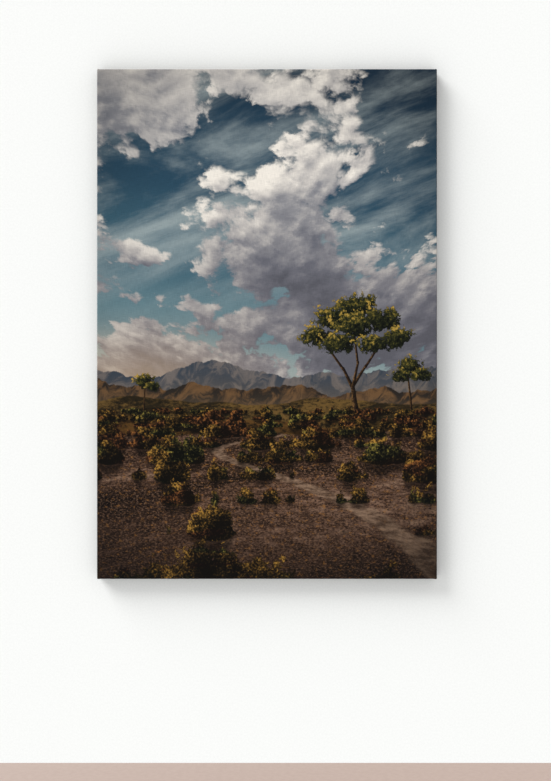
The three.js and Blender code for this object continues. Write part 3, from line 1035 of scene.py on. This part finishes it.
def stretched_canvas():
    """The whole canvas, from its patches to a sheet of real thickness."""
    sheet = bmesh.new()
    flat_layer = sheet.loops.layers.uv.new("flat")
    front = []
    for z in stops(half_height):
        row = []
        for x in stops(half_width):
            spot = rounded((x, z, 0.0), (half_width, half_height), 0.0)
            place = Vector((middle.x + spot.x, front_y + spot.z, middle.z + spot.y))
            row.append((place, (x, z)))
        front.append(row)
    add_patch(sheet, flat_layer, front)
    for side in (-1, 1):
        flap(sheet, flat_layer, True, side)
        flap(sheet, flat_layer, False, side)
        for side_z in (-1, 1):
            half_dart(sheet, flat_layer, side, side_z, True)
            half_dart(sheet, flat_layer, side, side_z, False)
    bmesh.ops.remove_doubles(sheet, verts=sheet.verts, dist=SEAM)
    bmesh.ops.dissolve_degenerate(sheet, dist=NOTHING, edges=sheet.edges)
    mesh = bpy.data.meshes.new("canvas_sheet")
    sheet.to_mesh(mesh)
    sheet.free()
    piece = new_piece("canvas_sheet", mesh, printed, bare)
    thick = piece.modifiers.new("thickness", "SOLIDIFY")
    thick.thickness = CLOTH
    thick.offset = -1
    thick.material_offset = 1
    thick.material_offset_rim = 1
    return settled(piece)


canvas = stretched_canvas()
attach(canvas, "root")
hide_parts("canvas")
print("canvas faces:", len(canvas.data.polygons))

# %% [markdown]
# Planed pine shows growth rings cut lengthwise. Wood like this is solid, so its pattern is
# solid too: each spot's distance from a pith outside the board gives its ring. Pale early wood
# darkens slowly towards the late wood and then stops short, which is what makes pine look
# striped on one side of each line.
#
# Stretcher bars are finger-jointed from short lengths. The group takes the spacing of those
# joints, and each length gets its own pith and its own tint. Knots bend the rings round them.

# %% Wood grain
RING = 3.2 * MM
FINGER_PITCH = 6 * MM
FINGER_LENGTH = 9 * MM
# Cells to a metre, with one possible knot in each
KNOT_CELLS = 5.5


def zigzag(value, pitch):
    """A wave of straight lines from 0 to 1."""
    return maths("ABSOLUTE", maths("FRACT", value / pitch) - 0.5) * 2.0


def wood_group():
    """Ring, fibre, knot, joint line and tint of a board, its grain running along Along."""
    names = ["Along", "Across", "Deep", "Length", "Seed"]
    results = ["Ring", "Fibre", "Knot", "Joint", "Tint"]
    tree, (along, across, deep, length, seed), target = group("wood_grain", names, results)
    cut = along + (zigzag(across + 0.5, FINGER_PITCH) - 0.5) * FINGER_LENGTH
    count = cut / length + seed * 0.37
    share = maths("FRACT", count)
    edge = maths("MINIMUM", share, 1.0 - share) * length
    feed(target.inputs["Joint"], step(edge, 0.45 * MM, 0.15 * MM))
    number = {"W": maths("FLOOR", count) + seed * 7.3}
    chance = node(tree, "ShaderNodeTexWhiteNoise", number, noise_dimensions="1D")
    parts = node(tree, "ShaderNodeSeparateColor", {"Color": Signal(chance.outputs["Color"])})
    red, green, blue = [Signal(output) for output in parts.outputs]
    feed(target.inputs["Tint"], blue)
    spots = {"Vector": point(along + seed * 1.7, across * 1.6 + seed), "Scale": KNOT_CELLS}
    flat_cells = {"voronoi_dimensions": "2D", "feature": "F1"}
    off = first_output(tree, "ShaderNodeTexVoronoi", spots, **flat_cells) / KNOT_CELLS
    feed(target.inputs["Knot"], step(off, 7.5 * MM, 5.0 * MM))
    bulge = step(off, 34 * MM, 4 * MM) * 9 * MM
    aside = across + (red - 0.5) * 0.16
    down = deep + 0.03 + green * 0.09
    wander = (noise(along * 0.9 + blue * 9.0, across * 5.0, 2.2, 3.0, 0.5, 3.0) - 0.5) * 0.018
    radius = maths("SQRT", aside * aside + down * down) + wander + bulge
    uneven = noise_along(radius, 140.0, 1.0)
    phase = maths("FRACT", radius / RING + uneven * 0.9)
    feed(target.inputs["Ring"], maths("POWER", phase, 2.2) * step(phase, 1.0, 0.93))
    grains = point(along * 14.0, across * 620.0, deep * 620.0)
    fibres = {"Vector": grains, "Scale": 1.0, "Detail": 3.0}
    feed(target.inputs["Fibre"], first_output(tree, "ShaderNodeTexNoise", fibres))
    return tree


wood = wood_group()
print("growth rings", RING / MM, "mm apart")

# %% [markdown]
# One function makes every wooden finish, from the direction of its grain and its colours. Bars
# that lie level have their grain along x, and upright ones along z. The two kinds of pine and
# the beech of the wedges differ in tint, ring contrast and joints.

# %% Wooden finishes


def wooden(name, upright, early, late, knot, contrast, length, seed):
    """Bare planed wood, with a joint every length and a little grime."""
    material, tree, shader = finish_of(name, Specular_IOR_Level=0.35)
    x, y, z = place_in(tree)
    along, across = (z, x) if upright else (x, z)
    values = {"Along": along, "Across": across, "Deep": y, "Length": length, "Seed": seed}
    ring, fibre, knots, joint, tint = use(tree, wood, **values)
    colour = mix(ring * contrast, srgb(early), srgb(late))
    colour = mix(step(tint, 0.0, 1.0, 0.0, 0.30), colour, srgb(late))
    colour = mix(step(fibre, 0.50, 0.30, 0.0, 0.38), colour, srgb(knot))
    colour = mix(knots * 0.85, colour, srgb(knot))
    grime = noise(along * 0.6, across, 16.0, 5.0, 0.65, seed + 4.0)
    colour = mix(step(grime, 0.52, 0.75) * 0.18, colour, srgb("5a4632"))
    colour = mix(joint * 0.6, colour, srgb("4e3620"))
    rough = step(ring + (fibre - 0.5), 0.0, 1.0, 0.68, 0.52)
    dress(shader, colour, rough, fibre * 0.7 + ring * 0.5 - joint * 1.5, 0.10 * MM)
    return material


PINE = {"early": "ddbd8b", "late": "b9854a", "knot": "7a4a26", "contrast": 0.85}
PALE_PINE = {"early": "e3c99b", "late": "c79a5e", "knot": "86552d", "contrast": 0.7}
BEECH = {"early": "c59a68", "late": "a9794a", "knot": "7d5531", "contrast": 0.35}
# Joints so far apart that none falls on the piece
NO_JOINTS = 9.0
level_pine = wooden("bar_pine_level", False, **PINE, length=0.43, seed=1.0)
upright_pine = wooden("bar_pine_upright", True, **PINE, length=0.47, seed=2.0)
level_brace_pine = wooden("brace_pine_level", False, **PALE_PINE, length=NO_JOINTS, seed=3.0)
upright_brace_pine = wooden("brace_pine_upright", True, **PALE_PINE, length=0.61, seed=4.0)
level_beech = wooden("wedge_beech_level", False, **BEECH, length=NO_JOINTS, seed=5.0)
upright_beech = wooden("wedge_beech_upright", True, **BEECH, length=NO_JOINTS, seed=6.0)
print("materials so far:", len(bpy.data.materials))

# %% [markdown]
# The frame's wooden parts have the right shape already, but a saw-sharp edge never catches the
# light. So each one is copied, its loose triangles are merged, flat faces are joined up, and the
# arrises are eased with a small bevel, as a pass of sandpaper does.

# %% Eased copies of the wooden parts
MERGE = 0.005 * MM
FLAT_ANGLE = math.radians(0.5)
BEVEL_ANGLE = math.radians(38)
SHARP_ANGLE = math.radians(28)
ARRIS = 0.5 * MM
WEDGE_ARRIS = 0.3 * MM


def eased(name, source, width, material):
    """A copy of a frame node, in its place, with its sharp edges rounded off."""
    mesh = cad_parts[source].data.copy()
    mesh.materials.clear()
    shape = bmesh.new()
    shape.from_mesh(mesh)
    bmesh.ops.remove_doubles(shape, verts=shape.verts, dist=MERGE)
    bmesh.ops.dissolve_limit(shape, angle_limit=FLAT_ANGLE, verts=shape.verts, edges=shape.edges)
    shape.to_mesh(mesh)
    shape.free()
    mesh.name = name
    piece = new_piece(name, mesh, material)
    bevel = piece.modifiers.new("arris", "BEVEL")
    bevel.width = width
    bevel.segments = 2
    bevel.angle_limit = BEVEL_ANGLE
    bevel.use_clamp_overlap = True
    settled(piece)
    piece.data.shade_smooth()
    piece.data.set_sharp_from_angle(angle=SHARP_ANGLE)
    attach(piece, "root")
    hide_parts(source)


bars = {"top": level_pine, "bottom": level_pine, "left": upright_pine, "right": upright_pine}
braces = {"level": level_brace_pine, "upright": upright_brace_pine}
wedges = sorted(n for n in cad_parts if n.startswith("wedge_"))
for place, pine in bars.items():
    eased(f"pine_bar_{place}", f"bar_{place}", ARRIS, pine)
for place, pine in braces.items():
    eased(f"pine_brace_{place}", f"brace_{place}", ARRIS, pine)
for source in wedges:
    # A wedge in a level bar lies along the upright bar next to it, so its grain is upright
    beech = upright_beech if source.split("_")[1] in ("top", "bottom") else level_beech
    eased(f"beech_{source}", source, WEDGE_ARRIS, beech)
print("wooden pieces:", len(bars) + len(braces) + len(wedges))

# %% [markdown]
# Metal on a print like this is thin plated steel, never polished. Zinc plate is grey with a
# faint crystalline bloom, the screws have a yellowish passivated coat, and staples are drawn
# wire. One function makes all three, from two tones, a scale for the bloom and a roughness.

# %% Steel finishes and pieces
PLATE_ARRIS = 0.12 * MM
SCREW_ARRIS = 0.10 * MM


def plated(name, dark, bright, bloom, rough):
    """Thin plated steel with a cloudy bloom, fine drawn lines and some tarnish."""
    material, tree, shader = finish_of(name, Metallic=1.0)
    x, y, z = place_in(tree)
    cloudy = noise(x + y * 0.3, z + y * 0.7, bloom, 5.0, 0.65, 2.0)
    drawn = noise(x * 0.08, z + y, 2600.0, 2.0, 0.6, 7.0)
    tarnish = noise(x, z, bloom * 0.3, 4.0, 0.7, 17.0)
    colour = mix(step(cloudy + (drawn - 0.5) * 0.3, 0.35, 0.65), srgb(dark), srgb(bright))
    colour = mix(step(tarnish, 0.56, 0.72) * 0.35, colour, srgb("6f675c"))
    uneven = step(cloudy, 0.3, 0.7, rough + 0.08, rough - 0.08)
    dress(shader, colour, uneven, drawn * 0.6 + cloudy, 0.015 * MM)
    return material


zinc = plated("zinc_plate", "9da1a5", "c9ccd0", 900.0, 0.38)
yellow_steel = plated("screw_coat", "b89d60", "cdb67c", 700.0, 0.32)
staple_wire = plated("staple_wire", "a3a5a8", "d6d8da", 1200.0, 0.33)

eased("zinc_hanger", "hanger", PLATE_ARRIS, zinc)
screws = ("left", "right")
for place in screws:
    name, source = f"steel_screw_{place}", f"hanger_screw_{place}"
    eased(name, source, SCREW_ARRIS, yellow_steel)
print("a hanger and", len(screws), "screws")

# %% [markdown]
# Staples hold the fold to the wood. There are nearly a hundred, all alike, so Geometry Nodes set
# them out. One bent line goes in, and the tree gives it the section of a wire. The same signals
# and signs as in the shaders serve here, since both kinds of tree have Math nodes.

# %% One staple
STAPLE_CROWN = 12 * MM
STAPLE_LEG = 8 * MM
WIRE_WIDTH = 1.2 * MM
WIRE_THICKNESS = 0.6 * MM
WIRE_BEND = 0.9 * MM
BEND_STEPS = 3
RECTANGLE = "GeometryNodeCurvePrimitiveQuadrilateral"


def bent_wire():
    """The middle line of one staple, its crown at the origin and its legs down -Y."""
    mesh = bpy.data.meshes.new("staple_line")
    half = (STAPLE_CROWN - WIRE_THICKNESS) / 2
    spots = [(-half, -STAPLE_LEG, 0), (-half, 0, 0), (half, 0, 0), (half, -STAPLE_LEG, 0)]
    mesh.from_pydata(spots, [(0, 1), (1, 2), (2, 3)], [])
    return bpy.data.objects.new("canvas_staples", mesh)


def one_staple(tree, line):
    """The line with round bends and a flat section, stood up so that its legs point down -Z."""
    curve = first_output(tree, "GeometryNodeMeshToCurve", {"Mesh": line})
    bends = {"Curve": curve, "Radius": WIRE_BEND, "Count": BEND_STEPS, "Limit Radius": True}
    bent = first_output(tree, "GeometryNodeFilletCurve", bends, mode="POLY")
    section = first_output(tree, RECTANGLE, {"Width": WIRE_THICKNESS, "Height": WIRE_WIDTH})
    swept = {"Curve": bent, "Profile Curve": section, "Fill Caps": True}
    staple = first_output(tree, "GeometryNodeCurveToMesh", swept)
    stood = {"Geometry": staple, "Rotation": (math.pi / 2, 0, 0)}
    return first_output(tree, "GeometryNodeTransform", stood)


print("a staple is", STAPLE_CROWN / MM, "mm wide and", STAPLE_LEG / MM, "mm long")

# %% [markdown]
# The places come from a walk round a rectangle in even steps. The mitred corners, where the fold
# is thickest, are left free, so places near a corner are dropped. Each staple lies along its own
# side of the frame, turned by a small random angle, because a hand holds the gun.

# %% Places for the staples
STAPLE_SPACING = 50 * MM
STAPLE_INSET = 14 * MM
CORNER_CLEAR = 34 * MM
STAPLE_JITTER = math.radians(7)
STAPLE_SEED = 4


def staple_spots(tree, given):
    """Points along a rectangle, without those near its corners, and a turn for each."""
    path = {"Width": given["Path Width"], "Height": given["Path Height"]}
    walk = {"Curve": first_output(tree, RECTANGLE, path), "Length": given["Spacing"]}
    spots = first_output(tree, "GeometryNodeCurveToPoints", walk, mode="LENGTH")
    x, y, _ = parts_of(first_output(tree, "GeometryNodeInputPosition"))
    room_x = given["Path Width"] * 0.5 - maths("ABSOLUTE", x)
    room_y = given["Path Height"] * 0.5 - maths("ABSOLUTE", y)
    near = {"A": maths("MAXIMUM", room_x, room_y), "B": given["Corner Clear"]}
    less = {"data_type": "FLOAT", "operation": "LESS_THAN"}
    dropped = {"Geometry": spots, "Selection": first_output(tree, "FunctionNodeCompare", near, **less)}
    kept = first_output(tree, "GeometryNodeDeleteGeometry", dropped, domain="POINT")
    chance = {2: given["Jitter"] * -1.0, 3: given["Jitter"], "Seed": given["Seed"]}
    turn = node(tree, "FunctionNodeRandomValue", chance, data_type="FLOAT")
    along_side = maths("LESS_THAN", room_x, room_y) * (math.pi / 2)
    return kept, point(0.0, 0.0, along_side + Signal(turn.outputs[1]))


print("a staple every", STAPLE_SPACING / MM, "mm")

# %% [markdown]
# The tree sets a staple on each place, and ends in Realize Instances and Set Material. Its
# inputs have names, so that it would serve a frame of any size. The result becomes a plain mesh,
# which is turned to face backwards and set on the fold.

# %% Set out the staples
# Each input of the tree by its kind and its value here
STAPLE_INPUTS = {
    "Path Width": ("Float", 2 * (half_width - STAPLE_INSET)),
    "Path Height": ("Float", 2 * (half_height - STAPLE_INSET)),
    "Spacing": ("Float", STAPLE_SPACING),
    "Corner Clear": ("Float", CORNER_CLEAR),
    "Jitter": ("Float", STAPLE_JITTER),
    "Seed": ("Int", STAPLE_SEED),
}


def staple_tree():
    """The tree that sets out staples, and the identifier of each of its inputs."""
    tree = bpy.data.node_groups.new("staples_round_a_frame", "GeometryNodeTree")
    add = tree.interface.new_socket
    add("Geometry", in_out="INPUT", socket_type="NodeSocketGeometry")
    add("Geometry", in_out="OUTPUT", socket_type="NodeSocketGeometry")
    ids = {}
    for label, (kind, _) in STAPLE_INPUTS.items():
        ids[label] = add(label, in_out="INPUT", socket_type="NodeSocket" + kind).identifier
    source = tree.nodes.new("NodeGroupInput")
    target = tree.nodes.new("NodeGroupOutput")
    given = {output.name: Signal(output) for output in source.outputs if output.name}
    spots, turns = staple_spots(tree, given)
    placed = {"Points": spots, "Instance": one_staple(tree, given["Geometry"]), "Rotation": turns}
    set_out = first_output(tree, "GeometryNodeInstanceOnPoints", placed)
    real = first_output(tree, "GeometryNodeRealizeInstances", {"Geometry": set_out})
    coat = {"Geometry": real, "Material": staple_wire}
    feed(target.inputs[0], first_output(tree, "GeometryNodeSetMaterial", coat))
    return tree, ids


def stapled():
    """All the staples on the back of the frame, as one plain mesh."""
    staples = bent_wire()
    bpy.context.scene.collection.objects.link(staples)
    tree, ids = staple_tree()
    modifier = staples.modifiers.new("set_out", "NODES")
    modifier.node_group = tree
    for label, (_, value) in STAPLE_INPUTS.items():
        modifier[ids[label]] = value
    settled(staples)
    surface = back_y + WIRE_THICKNESS * 0.25
    stand = Matrix.Translation((middle.x, surface, middle.z)) @ Matrix.Rotation(-math.pi / 2, 4, "X")
    staples.data.transform(stand)
    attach(staples, "root")
    return staples


staples = stapled()
print("staple faces:", len(staples.data.polygons))

# %% [markdown]
# Four soft pads keep the print off the wall. A pad is a turned shape, so it is made as a lathe
# makes it: one half outline is drawn and carried round. The fine rounding at its rim is what
# tells the eye that it is soft.

# %% Wall pads
PAD_SIDES = 48
RIM_STEPS = 5
# The rounding of the rim as a share of the thickness, and a ring of vertices on the flat face
RIM_SHARE = 0.38
RING_SHARE = 0.6
PAD_SHARP_ANGLE = math.radians(50)


def pad_rubber():
    """Dark foam rubber with dust on it."""
    material, tree, shader = finish_of("pad_rubber", Specular_IOR_Level=0.3)
    x, y, z = place_in(tree)
    foam = noise(x + y, z - y, 2400.0, 4.0, 0.7, 3.0)
    dust = noise(x, z, 160.0, 4.0, 0.6, 6.0)
    colour = mix(step(foam, 0.35, 0.65), srgb("232426"), srgb("3a3b3e"))
    colour = mix(step(dust, 0.5, 0.7) * 0.25, colour, srgb("8c8780"))
    dress(shader, colour, step(foam, 0.3, 0.7, 0.88, 0.72), foam, 0.06 * MM)
    return material


def turned_pad(name, source, material):
    """A disc with a rounded outer rim, its flat face on the wall."""
    low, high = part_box(source)
    centre = (low + high) / 2
    radius = (high.x - low.x) / 2
    rounding = (high.y - low.y) * RIM_SHARE
    outline = [(0.0, high.y), ((radius - rounding) * RING_SHARE, high.y)]
    for i in range(RIM_STEPS + 1):
        angle = math.pi / 2 * i / RIM_STEPS
        out = radius - rounding + rounding * math.sin(angle)
        outline.append((out, high.y - rounding + rounding * math.cos(angle)))
    outline += [(radius, low.y), (0.0, low.y)]
    shape = bmesh.new()
    spots = [shape.verts.new((centre.x + r, y, centre.z)) for r, y in outline]
    edges = [shape.edges.new(pair) for pair in zip(spots, spots[1:])]
    turn = {"cent": (centre.x, 0, centre.z), "axis": (0, 1, 0), "angle": 2 * math.pi}
    bmesh.ops.spin(shape, geom=spots + edges, steps=PAD_SIDES, **turn)
    bmesh.ops.remove_doubles(shape, verts=shape.verts, dist=MERGE)
    bmesh.ops.recalc_face_normals(shape, faces=shape.faces)
    mesh = bpy.data.meshes.new(name)
    shape.to_mesh(mesh)
    shape.free()
    mesh.shade_smooth()
    mesh.set_sharp_from_angle(angle=PAD_SHARP_ANGLE)
    piece = new_piece(name, mesh, material)
    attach(piece, "root")
    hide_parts(source)


rubber = pad_rubber()
pads = sorted(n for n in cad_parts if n.startswith("pad_"))
for source in pads:
    turned_pad(f"soft_{source}", source, rubber)
print("wall pads:", len(pads))

# %% [markdown]
# The stage is a white wall and a pale floor. The wall would hide the joinery from behind, so
# its back is see-through, and it only shows itself to the camera: light passes it and reaches
# the back of the frame. The print still casts its shadow on it. Right behind the print a real
# wall gets almost no light, so the paint is darker there, out of sight from the front.

# %% Wall and floor
FLOOR_LINE = 767
WALL_GAP = 1 * MM
WALL_HALF = 3.2
WALL_TOP = 1.9
FLOOR_HALF = 6.0

floor_z = middle.z - (FLOOR_LINE - (PRINT_TOP + PRINT_BOTTOM) / 2) / pixels_per_metre


def flat_stage(name, spots, material):
    """Four corners as one flat piece of the stage."""
    mesh = bpy.data.meshes.new(name)
    mesh.from_pydata(spots, [], [(0, 1, 2, 3)])
    piece = new_piece(name, mesh, material)
    piece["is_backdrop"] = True
    return piece


def wall_paint():
    """White paint, dark behind the print, and see-through from the back."""
    material, tree, shader = finish_of("wall_paint", Specular_IOR_Level=0.1)
    x, _, z = place_in(tree)
    roller = noise(x, z, 180.0, 5.0, 0.6, 3.0)
    colour = mix(step(roller, 0.3, 0.7), srgb("f3f4f2"), srgb("f7f8f6"))
    within_x = half_width - maths("ABSOLUTE", x)
    within_z = half_height - maths("ABSOLUTE", z - middle.z)
    behind_print = step(maths("MINIMUM", within_x, within_z), 1 * MM, 5 * MM)
    colour = mix(behind_print * 0.9, colour, srgb("4a4744"))
    dress(shader, colour, 0.9, roller, 0.05 * MM)
    behind = Signal(node(tree, "ShaderNodeNewGeometry").outputs["Backfacing"])
    clear = first_output(tree, "ShaderNodeBsdfTransparent")
    sides = {0: behind, 1: Signal(shader.outputs[0]), 2: clear}
    surface = tree.nodes["Material Output"].inputs["Surface"]
    feed(surface, first_output(tree, "ShaderNodeMixShader", sides))
    return material


def floor_finish():
    """A pale floor with a faint speckle."""
    material, tree, shader = finish_of("floor_finish", Roughness=0.55, Specular_IOR_Level=0.3)
    x, y, _ = place_in(tree)
    speckle = noise(x, y, 60.0, 5.0, 0.6, 3.0)
    feed(shader.inputs["Base Color"], mix(step(speckle, 0.3, 0.7), srgb("a69389"), srgb("aa978d")))
    return material


def add_stage():
    """The wall just behind the print, and the floor as far behind it as in front."""
    corners = ((-WALL_HALF, 0), (WALL_HALF, 0), (WALL_HALF, 1), (-WALL_HALF, 1))
    wall_spots = [(x, WALL_GAP, WALL_TOP if far else floor_z) for x, far in corners]
    floor_spots = [(x, FLOOR_HALF if far else -FLOOR_HALF, floor_z) for x, far in corners]
    wall = flat_stage("wall", wall_spots, wall_paint())
    floor = flat_stage("floor", floor_spots, floor_finish())
    for piece in (wall, floor):
        piece.visible_shadow = False
        piece.visible_diffuse = False
    wall.visible_glossy = False


add_stage()
print("floor at", round(floor_z, 3), "m")

# %% [markdown]
# The photograph has a broad, soft shadow on all four sides, deepest to the right and below. The
# soft part all round comes from even light, which the print's own thickness shuts off from the
# wall beside it. The deeper part comes from a lamp to the upper left. A sun with a wide disc is
# used for it, because it gives the same shadow along the whole edge. A weak and very wide sun
# from below stands for the light that a pale floor throws up a wall, and it makes the shadow
# above the print. So the floor itself is kept from lighting the wall, and lets that sun through.
# One more sun, behind, shows the relief of the frame's back.

# %% Light
EVEN_LIGHT = 0.62
# Each sun by its name, the way to it, its strength and the width of its disc in degrees
SUNS = (
    ("key", (-1.9, -1.0, 2.2), 2.85, 36),
    ("floor_light", (-0.6, -1.0, -1.7), 0.92, 90),
    ("back", (-0.7, 1.0, 0.9), 1.2, 35),
)


def add_sun(name, towards, strength, spread):
    """A sun whose light comes from the given direction, its disc spread degrees wide."""
    data = bpy.data.lights.new(name, "SUN")
    data.energy = strength
    data.angle = math.radians(spread)
    lamp = bpy.data.objects.new(name, data)
    lamp.rotation_mode = "QUATERNION"
    lamp.rotation_quaternion = Vector(towards).to_track_quat("Z", "Y")
    bpy.context.scene.collection.objects.link(lamp)


def add_world(strength):
    """White light of the same strength from every side."""
    world = bpy.data.worlds.new("studio")
    bpy.context.scene.world = world
    world.use_nodes = True
    background = world.node_tree.nodes["Background"]
    background.inputs["Color"].default_value = (1.0, 1.0, 1.0, 1.0)
    background.inputs["Strength"].default_value = strength


add_world(EVEN_LIGHT)
for sun in SUNS:
    add_sun(*sun)
bpy.context.scene.view_settings.view_transform = "Standard"
print("suns:", len(SUNS))

# %% [markdown]
# The dressed print has to fill the same box as the frame that it was built round, apart from
# the millimetre that the darts stand proud at the top and bottom.

# %% Sizes and finish
dressed_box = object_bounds()
sizes = {"cad": [list(v) for v in cad_box], "visual": [list(v) for v in dressed_box]}
for name, (low, high) in sizes.items():
    print(name, [round((b - a) / MM, 2) for a, b in zip(low, high)], "mm")
